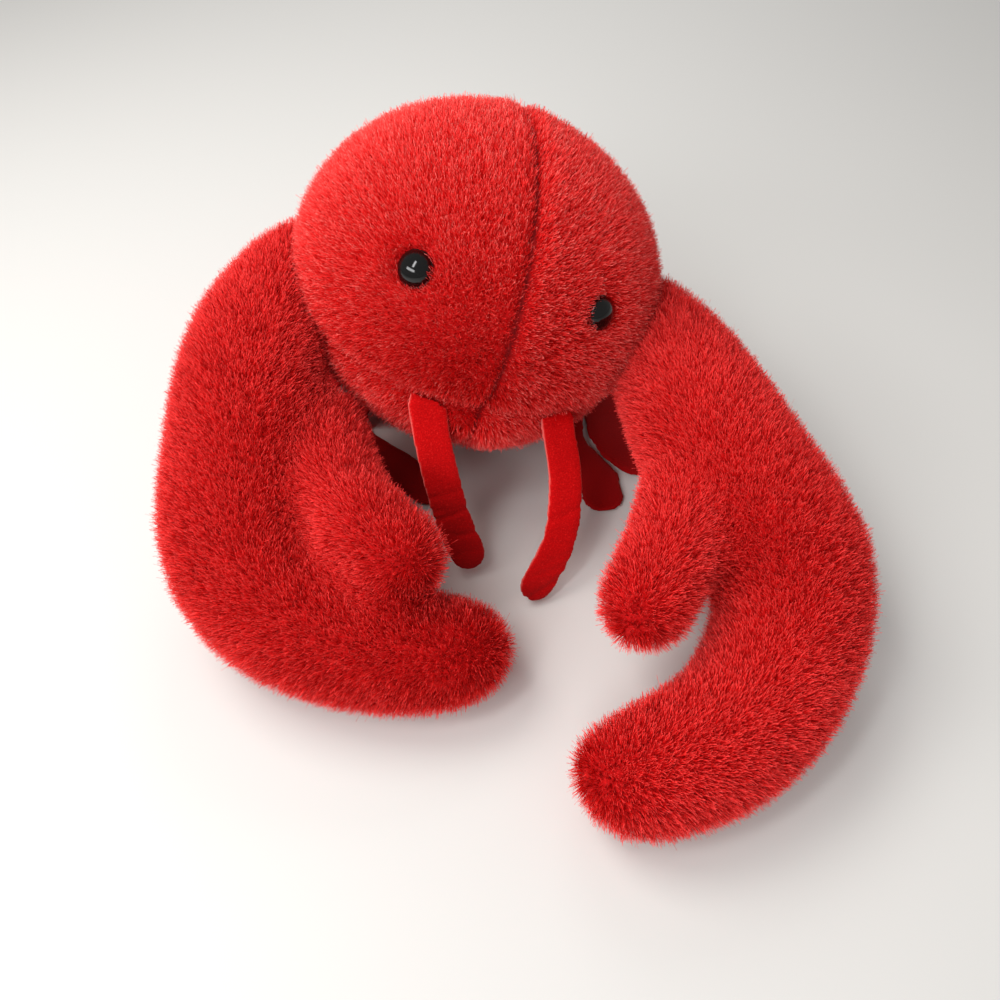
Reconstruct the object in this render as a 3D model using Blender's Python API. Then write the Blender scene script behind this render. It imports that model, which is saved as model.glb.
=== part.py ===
"""A poseable plush lobster, built as it is sewn.

A stuffed body whose rounded head leans to one side, two long claw arms that
curve forward and inward, a tapering tail with a fan, flat turned strips for
the antennae and the legs, and two safety eyes held by washers inside.
The toy faces -Y, its left side is +X, and it rests on the floor at Z = 0.
"""

import math

import bmesh
import bpy
import numpy as np
from mathutils import Matrix, Vector

# Clearance between pieces that touch on the real toy
GAP = 0.0003

# Head: an ellipsoid that leans over about the Y axis
HEAD_HALF_WIDTH = 0.0775
HEAD_HALF_DEPTH = 0.0700
HEAD_HALF_HEIGHT = 0.0690
HEAD_CENTRE_HEIGHT = 0.0825
HEAD_ROLL = math.radians(18.5)
HEAD_TURN = math.radians(-2.0)

# Back of the body, behind the head
BACK_HALF_WIDTH = 0.0600
BACK_HALF_LENGTH = 0.0680
BACK_HALF_HEIGHT = 0.0600
BACK_BEHIND_HEAD = 0.0560
BACK_FLOOR_SINK = 0.0040
BODY_BLEND = 0.10

# Seams of the face, as angles seen from the middle of the head
MOUTH_ANGLE = math.radians(-15.5)
MOUTH_END_ANGLE = math.radians(72)
MOUTH_END_FADE = math.radians(14)
MOUTH_DEPTH = 0.0030
CENTRE_SEAM_DEPTH = 0.0028
SEAM_WIDTH = 0.0042
PUCKER_DEPTH = 0.0030
PUCKER_WIDTH = 0.0080
CHIN_PUFF = 0.0020
CHIN_PUFF_ANGLE = math.radians(-33)
CHIN_PUFF_SIDE_ANGLE = math.radians(20)
CHIN_PUFF_SPREAD = math.radians(17)

# Safety eyes and the washers that hold them
EYE_RADIUS = 0.0070
EYE_DOME_HEIGHT = 0.0054
EYE_RIM_HEIGHT = 0.0010
EYE_SINK = 0.0036
EYE_SIDE_ANGLE = math.radians(34.8)
EYE_SIDE_SHIFT = math.radians(-2.5)
EYE_RISE_ANGLE = math.radians(24.6)
EYE_TURN_OUT = math.radians(8)
SHANK_RADIUS = 0.0024
SHANK_RIB = 0.0005
SHANK_END_RADIUS = 0.0012
SHANK_LENGTH = 0.0150
SHANK_RIB_COUNT = 3
WASHER_RADIUS = 0.0090
WASHER_THICKNESS = 0.0016
WASHER_DEPTH = 0.0060

# Claw arms: half widths across the arm, and how flat its section is
SHOULDER_INSET = 0.0400
ARM_HALF_WIDTH = 0.0258
PALM_HALF_WIDTH = 0.0300
FINGER_HALF_WIDTH = 0.0255
FINGER_END_HALF_WIDTH = 0.0195
CLAW_FLATNESS = 0.94
FINGER_ROUNDING = 0.0260
CLAW_FLOOR_SINK = 0.0012
THUMB_BASE_HALF_WIDTH = 0.0238
THUMB_HALF_WIDTH = 0.0168
THUMB_ROUNDING = 0.0180
SHOULDER_LIFT = 0.0580
ARM_REACH = 0.2000

# Tail and its fan
TAIL_LENGTH = 0.1100
TAIL_FRONT_HALF_WIDTH = 0.0450
TAIL_END_HALF_WIDTH = 0.0240
TAIL_FLATNESS = 0.88
TAIL_OVERLAP = 0.0300
TAIL_ROUNDING = 0.0120
TAIL_SEGMENTS = 4
TAIL_GROOVE = 0.0030
TAIL_FLOOR_SINK = 0.0015
FAN_LOBE_LENGTH = 0.0560
FAN_LOBE_HALF_WIDTH = 0.0190
FAN_LOBE_ROOT_HALF_WIDTH = 0.0118
FAN_HALF_THICKNESS = 0.0080
FAN_SPREAD = math.radians(38)
FAN_OVERLAP = 0.0130
FAN_LOBE_OFFSET = 0.0060
FAN_FLOOR_CLEARANCE = 0.0004

# Velour strips: two layers turned right side out
STRIP_THICKNESS = 0.0024
STRIP_END_THICKNESS = 0.0008
STRIP_SEAT = 0.0060
STRIP_SQUARENESS = 0.55
ANTENNA_WIDTH = 0.0155
ANTENNA_ROUNDING = 0.0090
ANTENNA_REACH = 0.0500
RIGHT_ANTENNA_ANGLE = math.radians(-20)
LEFT_ANTENNA_ANGLE = math.radians(30)
LEG_WIDTH = 0.0205
LEG_ROUNDING = 0.0100
LEG_REACH = 0.0800
LEG_COUNT = 4
LEG_SPACING = 0.0215
FRONT_LEG_PLACE = 0.0160
LEG_ROOT_HEIGHT = 0.0230
STRIP_FLOOR_CLEARANCE = 0.0006

# Fineness of the meshes, and how far the meridians crowd towards the face
BODY_MERIDIANS = 48
FACE_CROWDING = 1.2
BODY_RINGS_BELOW = 9
BODY_RINGS_ABOVE = 15
ARM_SIDES = 22
ARM_STATIONS = 24
THUMB_SIDES = 16
THUMB_STATIONS = 9
TAIL_SIDES = 20
TAIL_STATIONS = 17
LOBE_SIDES = 14
LOBE_STATIONS = 9
STRIP_SIDES = 8
STRIP_STATIONS = 13
ROUTE_POINTS = 200
SPAN_POINTS = 24
TURNED_SIDES = 20

# Search along a ray for the body's skin
REACH_STEP = 0.0010
REACH_HALVINGS = 24
SLOPE_NUDGE = 0.0005

# Where along the arm its half widths change
ARM_WIDTH_PLACES = (0.00, 0.18, 0.36, 0.54, 0.72, 0.88, 1.00)
THUMB_WIDTH_PLACES = (0.0, 0.5, 1.0)

# Where each arm goes: outward from its shoulder and forward, as shares of the arm's reach, and its
# lift, as a share of the shoulder's
RIGHT_ARM_ROUTE = (
    (0.000, 0.120, 1.00),
    (0.150, 0.070, 1.05),
    (0.245, -0.040, 0.97),
    (0.290, -0.140, 0.81),
    (0.325, -0.290, 0.50),
    (0.345, -0.435, 0.23),
    (0.320, -0.545, 0.09),
    (0.230, -0.640, 0.02),
    (0.090, -0.705, 0.00),
    (-0.040, -0.720, 0.00),
    (-0.140, -0.700, 0.00),
)
RIGHT_THUMB_ROUTE = (
    (0.205, -0.235, 0.49),
    (0.150, -0.405, 0.60),
    (0.090, -0.555, 0.70),
    (-0.015, -0.665, 0.58),
)
LEFT_ARM_ROUTE = (
    (0.000, 0.050, 0.66),
    (0.130, -0.050, 0.66),
    (0.200, -0.200, 0.60),
    (0.210, -0.400, 0.54),
    (0.250, -0.570, 0.42),
    (0.290, -0.660, 0.28),
    (0.285, -0.760, 0.13),
    (0.225, -0.860, 0.04),
    (0.150, -0.935, 0.00),
    (0.050, -0.985, 0.00),
    (-0.055, -1.005, 0.00),
    (-0.170, -0.975, 0.00),
)
LEFT_THUMB_ROUTE = (
    (0.200, -0.480, 0.50),
    (0.105, -0.610, 0.62),
    (0.025, -0.725, 0.60),
    (-0.060, -0.820, 0.48),
)

# Where each leg goes from its seam: outward and forward, as shares of the leg's reach, and its
# height, as a share of the seam's
RIGHT_FRONT_LEG_ROUTE = (
    (0.20, 0.02, 0.55),
    (0.36, -0.09, 0.12),
    (0.33, -0.28, 0.00),
    (0.11, -0.53, 0.00),
    (-0.16, -0.85, 0.00),
)
RIGHT_SECOND_LEG_ROUTE = (
    (0.20, 0.00, 0.55),
    (0.43, -0.06, 0.10),
    (0.57, -0.24, 0.00),
    (0.60, -0.57, 0.00),
    (0.56, -0.85, 0.00),
)
LEFT_FRONT_LEG_ROUTE = (
    (0.04, -0.12, 0.50),
    (-0.05, -0.50, 0.06),
    (0.09, -0.84, 0.00),
    (0.04, -1.08, 0.00),
)
LEFT_SECOND_LEG_ROUTE = (
    (0.16, -0.06, 0.55),
    (0.19, -0.42, 0.10),
    (0.16, -0.79, 0.00),
    (0.33, -1.09, 0.00),
)
OTHER_LEG_ROUTE = (
    (0.16, 0.03, 0.55),
    (0.35, 0.07, 0.08),
    (0.80, 0.11, 0.00),
)

# Where each antenna goes from its root in the mouth seam down to the floor: left and forward, as
# shares of the antenna's reach, and its height, as a share of the root's
RIGHT_ANTENNA_ROUTE = (
    (0.000, -0.120, 0.86),
    (0.040, -0.320, 0.62),
    (0.120, -0.520, 0.32),
    (0.260, -0.680, 0.03),
)
LEFT_ANTENNA_ROUTE = (
    (0.000, -0.120, 0.90),
    (0.000, -0.480, 0.66),
    (-0.120, -0.840, 0.34),
    (-0.420, -1.120, 0.03),
)


def head_centre():
    return np.array((0.0, 0.0, HEAD_CENTRE_HEIGHT))


def back_centre():
    return np.array((0.0, BACK_BEHIND_HEAD, BACK_HALF_HEIGHT - BACK_FLOOR_SINK))


def face_axes():
    """The face's own left, forward and up directions."""
    forward = np.array((math.sin(HEAD_TURN), -math.cos(HEAD_TURN), 0.0))
    level = np.array((math.cos(HEAD_TURN), math.sin(HEAD_TURN), 0.0))
    upright = np.array((0.0, 0.0, 1.0))
    left = math.cos(HEAD_ROLL) * level - math.sin(HEAD_ROLL) * upright
    up = math.sin(HEAD_ROLL) * level + math.cos(HEAD_ROLL) * upright
    return left, forward, up


def face_direction(side_angle, rise_angle):
    """Unit directions from the middle of the head, in the leaning face's own angles."""
    left, forward, up = face_axes()
    side_angle, rise_angle = np.broadcast_arrays(side_angle, rise_angle)
    flat = np.cos(rise_angle)[..., None]
    across = np.sin(side_angle)[..., None] * left + np.cos(side_angle)[..., None] * forward
    return flat * across + np.sin(rise_angle)[..., None] * up


def body_field(points):
    """Below zero inside the sewn body: the head and the back, smoothly joined."""
    left, forward, up = face_axes()
    from_head = points - head_centre()
    head = np.sqrt(
        (from_head @ left / HEAD_HALF_WIDTH) ** 2
        + (from_head @ forward / HEAD_HALF_DEPTH) ** 2
        + (from_head @ up / HEAD_HALF_HEIGHT) ** 2
    )
    back_sizes = np.array((BACK_HALF_WIDTH, BACK_HALF_LENGTH, BACK_HALF_HEIGHT))
    back = np.sqrt((((points - back_centre()) / back_sizes) ** 2).sum(axis=-1))
    nearness = np.clip(0.5 + 0.5 * (back - head) / BODY_BLEND, 0.0, 1.0)
    return back * (1 - nearness) + head * nearness - BODY_BLEND * nearness * (1 - nearness) - 1.0


def reach(start, directions):
    """How far the body reaches from a start point inside it along each direction."""
    longest = HEAD_HALF_DEPTH + BACK_BEHIND_HEAD + BACK_HALF_LENGTH
    steps = np.arange(0.0, longest, REACH_STEP)
    points = start + directions[..., None, :] * steps[:, None]
    inside = body_field(points) < 0
    last = steps.size - 1 - np.argmax(inside[..., ::-1], axis=-1)
    near = steps[last]
    far = near + REACH_STEP
    for _ in range(REACH_HALVINGS):
        middle = (near + far) / 2
        is_inside = body_field(start + directions * middle[..., None]) < 0
        near = np.where(is_inside, middle, near)
        far = np.where(is_inside, far, middle)
    return near


def bump(offset, width):
    return np.exp(-((offset / width) ** 2))


def seam_relief(side_angle, rise_angle, radius):
    """How much the seams and the chin puffs move the skin in or out."""
    across = radius * np.cos(rise_angle) * side_angle
    below_mouth = radius * (rise_angle - MOUTH_ANGLE)
    mouth_fade = np.clip((MOUTH_END_ANGLE - np.abs(side_angle)) / MOUTH_END_FADE, 0.0, 1.0)
    mouth = -MOUTH_DEPTH * bump(below_mouth, SEAM_WIDTH) * mouth_fade
    behind = np.minimum(np.abs(side_angle), np.pi - np.abs(side_angle))
    seam_offset = radius * np.cos(rise_angle) * behind
    centre = -CENTRE_SEAM_DEPTH * bump(seam_offset, SEAM_WIDTH)
    pucker = -PUCKER_DEPTH * bump(np.hypot(across, below_mouth), PUCKER_WIDTH)
    puff_side = (np.abs(side_angle) - CHIN_PUFF_SIDE_ANGLE) / CHIN_PUFF_SPREAD
    puff_rise = (rise_angle - CHIN_PUFF_ANGLE) / CHIN_PUFF_SPREAD
    puffs = CHIN_PUFF * np.exp(-(puff_side**2) - puff_rise**2)
    return mouth + centre + pucker + puffs


def skin_point(side_angle, rise_angle):
    """Points on the sewn skin, seams included."""
    directions = face_direction(side_angle, rise_angle)
    radius = reach(head_centre(), directions)
    relief = seam_relief(side_angle, rise_angle, radius)
    return head_centre() + directions * (radius + relief)[..., None]


def skin_normal(side_angle, rise_angle):
    """The outward direction of the smooth body under a face angle."""
    directions = face_direction(side_angle, rise_angle)
    point = head_centre() + directions * reach(head_centre(), directions)
    slope = np.array([
        body_field(point + SLOPE_NUDGE * axis) - body_field(point - SLOPE_NUDGE * axis)
        for axis in np.eye(3)
    ])
    return slope / np.linalg.norm(slope)


def material(name, colour, roughness):
    """A plain Principled material of one colour."""
    found = bpy.data.materials.get(name)
    if found:
        return found
    made = bpy.data.materials.new(name)
    made.use_nodes = True
    shader = made.node_tree.nodes["Principled BSDF"]
    shader.inputs["Base Color"].default_value = (*colour, 1.0)
    shader.inputs["Roughness"].default_value = roughness
    shader.inputs["Metallic"].default_value = 0.0
    return made


def plush():
    return material("plush_red", (0.52, 0.010, 0.014), 0.9)


def velour():
    return material("velour_red", (0.46, 0.008, 0.012), 0.8)


def eye_plastic():
    return material("eye_black", (0.010, 0.009, 0.009), 0.08)


def washer_plastic():
    return material("washer_white", (0.75, 0.74, 0.70), 0.5)


def mesh_object(name, vertices, faces, finish):
    """A named object with outward faces and smooth shading."""
    mesh = bpy.data.meshes.new(name)
    mesh.from_pydata([tuple(v) for v in vertices], [], faces)
    builder = bmesh.new()
    builder.from_mesh(mesh)
    bmesh.ops.recalc_face_normals(builder, faces=builder.faces)
    bmesh.ops.triangulate(builder, faces=builder.faces)
    builder.to_mesh(mesh)
    builder.free()
    mesh.materials.append(finish)
    mesh.shade_smooth()
    made = bpy.data.objects.new(name, mesh)
    bpy.context.scene.collection.objects.link(made)
    return made


def rings_to_object(name, rings, finish, start_tip=None, end_tip=None):
    """Skins a row of closed rings, each end closed by a point or by a flat cap."""
    sides = len(rings[0])
    vertices = [point for ring in rings for point in ring]
    faces = []
    for row in range(len(rings) - 1):
        for k in range(sides):
            after = (k + 1) % sides
            low, high = row * sides, (row + 1) * sides
            faces.append((low + k, low + after, high + after, high + k))
    for tip, row in ((start_tip, 0), (end_tip, len(rings) - 1)):
        first = row * sides
        if tip is None:
            faces.append(tuple(first + k for k in range(sides)))
            continue
        vertices.append(tip)
        top = len(vertices) - 1
        faces.extend((first + k, first + (k + 1) % sides, top) for k in range(sides))
    return mesh_object(name, vertices, faces, finish)


def with_boolean(target, other, operation):
    """Joins or cuts one object by another and removes the other."""
    modifier = target.modifiers.new("boolean", "BOOLEAN")
    modifier.operation = operation
    modifier.solver = "EXACT"
    modifier.object = other
    graph = bpy.context.evaluated_depsgraph_get()
    result = bpy.data.meshes.new_from_object(target.evaluated_get(graph))
    target.modifiers.remove(modifier)
    old = target.data
    target.data = result
    bpy.data.meshes.remove(old)
    bpy.data.objects.remove(other)
    result.name = target.name
    return target


def keep_above_floor(target):
    """Cuts the piece flat where it rests on the floor."""
    builder = bmesh.new()
    builder.from_mesh(target.data)
    everything = builder.verts[:] + builder.edges[:] + builder.faces[:]
    cut = bmesh.ops.bisect_plane(
        builder, geom=everything, dist=1e-6, plane_co=(0, 0, 0), plane_no=(0, 0, 1), clear_inner=True
    )
    edges = [item for item in cut["geom_cut"] if isinstance(item, bmesh.types.BMEdge)]
    if edges:
        bmesh.ops.holes_fill(builder, edges=edges, sides=0)
    bmesh.ops.recalc_face_normals(builder, faces=builder.faces)
    builder.to_mesh(target.data)
    builder.free()
    return target


def smooth_route(points, count):
    """Evenly spaced points along a smooth curve through the route's points."""
    points = np.asarray(points, dtype=float)
    before = 2 * points[0] - points[1]
    after = 2 * points[-1] - points[-2]
    padded = np.vstack((before, points, after))
    share = np.linspace(0.0, 1.0, SPAN_POINTS, endpoint=False)[:, None]
    pieces = []
    for k in range(len(points) - 1):
        a, b, c, d = padded[k:k + 4]
        pieces.append(0.5 * (
            2 * b + (c - a) * share + (2 * a - 5 * b + 4 * c - d) * share**2
            + (3 * b - a - 3 * c + d) * share**3
        ))
    curve = np.vstack((*pieces, points[-1:]))
    lengths = np.concatenate(([0.0], np.cumsum(np.linalg.norm(np.diff(curve, axis=0), axis=1))))
    wanted = np.linspace(0.0, lengths[-1], count)
    return np.column_stack([np.interp(wanted, lengths, curve[:, axis]) for axis in range(3)])


def stations_with_round_end(length, rounding, count):
    """Distances along a form, closer together where its end rounds off."""
    round_count = max(4, count // 4)
    straight = np.linspace(0.0, length - rounding, count - round_count, endpoint=False)
    angles = np.linspace(0.0, math.pi / 2, round_count + 1)[:-1]
    return np.concatenate((straight, length - rounding + rounding * np.sin(angles)))


def round_end(distances, length, rounding):
    """The share of the full width left at each distance as the end rounds off."""
    over = np.clip((distances - (length - rounding)) / rounding, 0.0, 1.0)
    return np.sqrt(1.0 - over**2)


def stations_along(route, rounding, count):
    """Centres, directions, places from 0 to 1 and end rounding of the sections along a route."""
    fine = smooth_route(route, ROUTE_POINTS)
    lengths = np.concatenate(([0.0], np.cumsum(np.linalg.norm(np.diff(fine, axis=0), axis=1))))
    distances = stations_with_round_end(lengths[-1], rounding, count)
    slopes = np.gradient(fine, axis=0)
    centres = np.column_stack([np.interp(distances, lengths, fine[:, axis]) for axis in range(3)])
    tangents = np.column_stack([np.interp(distances, lengths, slopes[:, axis]) for axis in range(3)])
    return centres, tangents, distances / lengths[-1], round_end(distances, lengths[-1], rounding)


def stuffed_form(name, route, widths_at, flatness, rounding, sides, count, finish):
    """A stuffed tube along a route: widths_at gives half widths along its length."""
    centres, tangents, places, ending = stations_along(route, rounding, count)
    half_widths = widths_at(places) * ending
    angles = np.linspace(0.0, 2 * math.pi, sides, endpoint=False)
    rings = []
    for centre, tangent, half_width in zip(centres, tangents, half_widths):
        across = np.cross(tangent, (0.0, 0.0, 1.0))
        across /= np.linalg.norm(across)
        upward = np.cross(across, tangent)
        upward /= np.linalg.norm(upward)
        rings.append([
            centre + half_width * (math.cos(a) * across + flatness * math.sin(a) * upward)
            for a in angles
        ])
    return rings_to_object(name, rings, finish, end_tip=np.array(route[-1]))


def make_body():
    """The sewn body with its seams, resting flat on its belly."""
    share = np.linspace(-1.0, 1.0, BODY_MERIDIANS, endpoint=False)
    side_angles = np.sign(share) * math.pi * np.abs(share) ** FACE_CROWDING
    below = np.linspace(-math.pi / 2, MOUTH_ANGLE, BODY_RINGS_BELOW + 1)[1:]
    above = np.linspace(MOUTH_ANGLE, math.pi / 2, BODY_RINGS_ABOVE + 1)[1:-1]
    rings = [skin_point(side_angles, np.full_like(side_angles, rise)) for rise in (*below, *above)]
    bottom = skin_point(np.array(0.0), np.array(-math.pi / 2))
    top = skin_point(np.array(0.0), np.array(math.pi / 2))
    body = rings_to_object("body", rings, plush(), start_tip=bottom, end_tip=top)
    return keep_above_floor(body)


def grown_copy(source, amount):
    """A copy of a piece, swollen along its normals, to cut a neighbour clear of it."""
    copy = source.copy()
    copy.data = source.data.copy()
    copy.name = source.name + "_clear"
    bpy.context.scene.collection.objects.link(copy)
    normals = [Vector(vertex.normal) for vertex in copy.data.vertices]
    for vertex, normal in zip(copy.data.vertices, normals):
        vertex.co += normal * amount
    return copy


def clear_of(piece, *neighbours):
    """Cuts the piece back so that it meets its neighbours with the usual gap."""
    for neighbour in neighbours:
        with_boolean(piece, grown_copy(neighbour, GAP), "DIFFERENCE")
    return piece


def arm_widths(share):
    """Half width of the claw arm from the shoulder, at 0, to the finger's end, at 1."""
    widths = (
        ARM_HALF_WIDTH, ARM_HALF_WIDTH, PALM_HALF_WIDTH, PALM_HALF_WIDTH,
        FINGER_HALF_WIDTH, (FINGER_HALF_WIDTH + FINGER_END_HALF_WIDTH) / 2, FINGER_END_HALF_WIDTH,
    )
    return np.interp(share, ARM_WIDTH_PLACES, widths)


def thumb_widths(share):
    widths = (THUMB_BASE_HALF_WIDTH, THUMB_HALF_WIDTH, THUMB_HALF_WIDTH)
    return np.interp(share, THUMB_WIDTH_PLACES, widths)


def arm_points(route, side, widths_at):
    """Turns a route from the shoulder into points whose lowest ones rest on the floor."""
    shoulder_x = HEAD_HALF_WIDTH - SHOULDER_INSET
    steps = np.linalg.norm(np.diff(np.array(route)[:, :2], axis=0), axis=1)
    share = np.concatenate(([0.0], np.cumsum(steps))) / steps.sum()
    resting = CLAW_FLATNESS * widths_at(share) - CLAW_FLOOR_SINK
    return [
        (side * (shoulder_x + out * ARM_REACH), forward * ARM_REACH, low + lift * SHOULDER_LIFT)
        for (out, forward, lift), low in zip(route, resting)
    ]


def make_claw_arm(name, side, arm_route, thumb_route, body):
    """One stuffed arm that ends in a long finger and a thumb."""
    arm = stuffed_form(
        name, arm_points(arm_route, side, arm_widths), arm_widths, CLAW_FLATNESS, FINGER_ROUNDING,
        ARM_SIDES, ARM_STATIONS, plush()
    )
    thumb = stuffed_form(
        name + "_thumb", arm_points(thumb_route, side, thumb_widths), thumb_widths, CLAW_FLATNESS,
        THUMB_ROUNDING, THUMB_SIDES, THUMB_STATIONS, plush()
    )
    with_boolean(arm, thumb, "UNION")
    clear_of(arm, body)
    return keep_above_floor(arm)


def tail_widths(share):
    """Tapers from the body to the fan, drawn in at each sewn segment."""
    taper = TAIL_FRONT_HALF_WIDTH + (TAIL_END_HALF_WIDTH - TAIL_FRONT_HALF_WIDTH) * share
    swell = np.abs(np.sin(math.pi * share * TAIL_SEGMENTS))
    return taper - TAIL_GROOVE * (1.0 - swell)


def tail_start():
    return BACK_BEHIND_HEAD + BACK_HALF_LENGTH - TAIL_OVERLAP


def make_tail(body):
    """A tapering stuffed tail that lies on the floor."""
    front = TAIL_FLATNESS * TAIL_FRONT_HALF_WIDTH - TAIL_FLOOR_SINK
    end = TAIL_FLATNESS * TAIL_END_HALF_WIDTH - TAIL_FLOOR_SINK
    start_y = tail_start()
    route = (
        (0.0, start_y, front),
        (0.0, start_y + TAIL_LENGTH / 2, (front + end) / 2),
        (0.0, start_y + TAIL_LENGTH, end),
    )
    tail = stuffed_form(
        "tail", route, tail_widths, TAIL_FLATNESS, TAIL_ROUNDING, TAIL_SIDES, TAIL_STATIONS, plush()
    )
    clear_of(tail, body)
    return keep_above_floor(tail)


def lobe_widths(share):
    """A lobe is narrow at its root, widest two thirds of the way out and round at its end."""
    opening = np.sin(math.pi * np.clip(share, 0.0, 1.0) * 0.75)
    return FAN_LOBE_ROOT_HALF_WIDTH + (FAN_LOBE_HALF_WIDTH - FAN_LOBE_ROOT_HALF_WIDTH) * opening


def make_tail_fan(tail):
    """Three flat rounded lobes, sewn together at the end of the tail."""
    height = FAN_HALF_THICKNESS + FAN_FLOOR_CLEARANCE
    root = np.array((0.0, tail_start() + TAIL_LENGTH - FAN_OVERLAP, height))
    fan = None
    for turn, aside in ((0.0, 0.0), (-FAN_SPREAD, -FAN_LOBE_OFFSET), (FAN_SPREAD, FAN_LOBE_OFFSET)):
        along = np.array((math.sin(turn), math.cos(turn), 0.0))
        start = root + np.array((aside, -abs(aside) / 2, 0.0))
        route = [start + along * FAN_LOBE_LENGTH * share for share in (0.0, 0.5, 1.0)]
        lobe = stuffed_form(
            "tail_fan", route, lobe_widths, FAN_HALF_THICKNESS / FAN_LOBE_HALF_WIDTH,
            FAN_LOBE_HALF_WIDTH, LOBE_SIDES, LOBE_STATIONS, plush()
        )
        fan = with_boolean(fan, lobe, "UNION") if fan else lobe
    return clear_of(fan, tail)


def strip_form(name, route, width, rounding, across=None):
    """A flat turned strip of velour with a rounded free end, level from side to side unless told."""
    centres, tangents, _, ending = stations_along(route, rounding, STRIP_STATIONS)
    angles = np.linspace(0.0, 2 * math.pi, STRIP_SIDES, endpoint=False) + math.pi / STRIP_SIDES
    spread = np.sign(np.cos(angles)) * np.abs(np.cos(angles)) ** STRIP_SQUARENESS
    rise = np.sign(np.sin(angles)) * np.abs(np.sin(angles)) ** STRIP_SQUARENESS
    rings = []
    for centre, tangent, share in zip(centres, tangents, ending):
        sideways = np.cross(tangent, (0.0, 0.0, 1.0)) if across is None else across
        facing = np.cross(sideways, tangent)
        facing /= np.linalg.norm(facing)
        sideways = np.cross(tangent, facing)
        sideways /= np.linalg.norm(sideways)
        half_width = width / 2 * share
        half_thickness = (STRIP_END_THICKNESS + (STRIP_THICKNESS - STRIP_END_THICKNESS) * share) / 2
        rings.append([
            centre + half_width * a * sideways + half_thickness * b * facing
            for a, b in zip(spread, rise)
        ])
    return rings_to_object(name, rings, velour(), end_tip=np.array(route[-1]))


def make_antenna(name, side_angle, route, body):
    """A strip caught in the mouth seam that hangs down to the floor."""
    root = skin_point(np.array(side_angle), np.array(MOUTH_ANGLE))
    inward = face_direction(np.array(side_angle), np.array(MOUTH_ANGLE))
    low = STRIP_THICKNESS / 2 + STRIP_FLOOR_CLEARANCE
    points = [root - inward * STRIP_SEAT, root]
    for left, forward, share in route:
        aside = root[:2] + ANTENNA_REACH * np.array((left, forward))
        points.append((*aside, low + share * (root[2] - low)))
    strip = strip_form(name, points, ANTENNA_WIDTH, ANTENNA_ROUNDING, across=face_axes()[0])
    return clear_of(strip, body)


def make_leg(name, side, start_y, route, body):
    """A strip caught in the belly's side seam that lies out on the floor."""
    low = STRIP_THICKNESS / 2 + STRIP_FLOOR_CLEARANCE
    inside = np.array((0.0, start_y, LEG_ROOT_HEIGHT))
    outward = np.array((float(side), 0.0, 0.0))
    edge = reach(inside, outward)
    root = inside + outward * edge
    points = [inside + outward * (edge - STRIP_SEAT), root]
    for out, forward, share in route:
        aside = root[:2] + LEG_REACH * np.array((side * out, forward))
        points.append((*aside, low + share * (root[2] - low)))
    strip = strip_form(name, points, LEG_WIDTH, LEG_ROUNDING)
    return clear_of(strip, body)


def make_legs(body):
    """The walking legs, in pairs along the belly."""
    others = [OTHER_LEG_ROUTE] * (LEG_COUNT - 2)
    right_routes = [RIGHT_FRONT_LEG_ROUTE, RIGHT_SECOND_LEG_ROUTE, *others]
    left_routes = [LEFT_FRONT_LEG_ROUTE, LEFT_SECOND_LEG_ROUTE, *others]
    for k, (right_route, left_route) in enumerate(zip(right_routes, left_routes)):
        start_y = FRONT_LEG_PLACE + k * LEG_SPACING
        make_leg(f"leg_right_{k + 1}", -1, start_y, right_route, body)
        make_leg(f"leg_left_{k + 1}", 1, start_y, left_route, body)


def turned(name, profile, finish):
    """A piece turned about Z from a profile of (radius, height) that starts and ends on the axis."""
    angles = np.linspace(0.0, 2 * math.pi, TURNED_SIDES, endpoint=False)
    rings = [
        [(radius * math.cos(a), radius * math.sin(a), height) for a in angles]
        for radius, height in profile[1:-1]
    ]
    tips = [(0.0, 0.0, profile[0][1]), (0.0, 0.0, profile[-1][1])]
    return rings_to_object(name, rings, finish, start_tip=tips[0], end_tip=tips[1])


def eye_profile():
    """Dome, rim, flat back and ribbed shank of a safety eye."""
    dome = [
        (EYE_RADIUS * math.sin(t), EYE_RIM_HEIGHT + (EYE_DOME_HEIGHT - EYE_RIM_HEIGHT) * math.cos(t))
        for t in np.linspace(0.0, math.pi / 2, 6)
    ]
    profile = dome + [(EYE_RADIUS, 0.0), (SHANK_RADIUS, 0.0)]
    pitch = SHANK_LENGTH / (SHANK_RIB_COUNT + 1)
    for k in range(1, SHANK_RIB_COUNT + 1):
        profile.append((SHANK_RADIUS - SHANK_RIB, -k * pitch))
        profile.append((SHANK_RADIUS, -k * pitch - pitch / 2))
    return profile + [(SHANK_END_RADIUS, -SHANK_LENGTH), (0.0, -SHANK_LENGTH)]


def eye_pocket_profile():
    """The hollow that the eye, its shank and its washer take up in the stuffed head."""
    rim = EYE_RADIUS + GAP
    shank = SHANK_RADIUS + GAP
    washer = WASHER_RADIUS + GAP
    above = EYE_DOME_HEIGHT + EYE_SINK
    washer_top = -WASHER_DEPTH + GAP
    washer_bottom = -WASHER_DEPTH - WASHER_THICKNESS - GAP
    end = -SHANK_LENGTH - GAP
    return [
        (0.0, above), (rim, above), (rim, -GAP), (shank, -GAP), (shank, washer_top), (washer, washer_top),
        (washer, washer_bottom), (shank, washer_bottom), (shank, end), (0.0, end),
    ]


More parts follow.
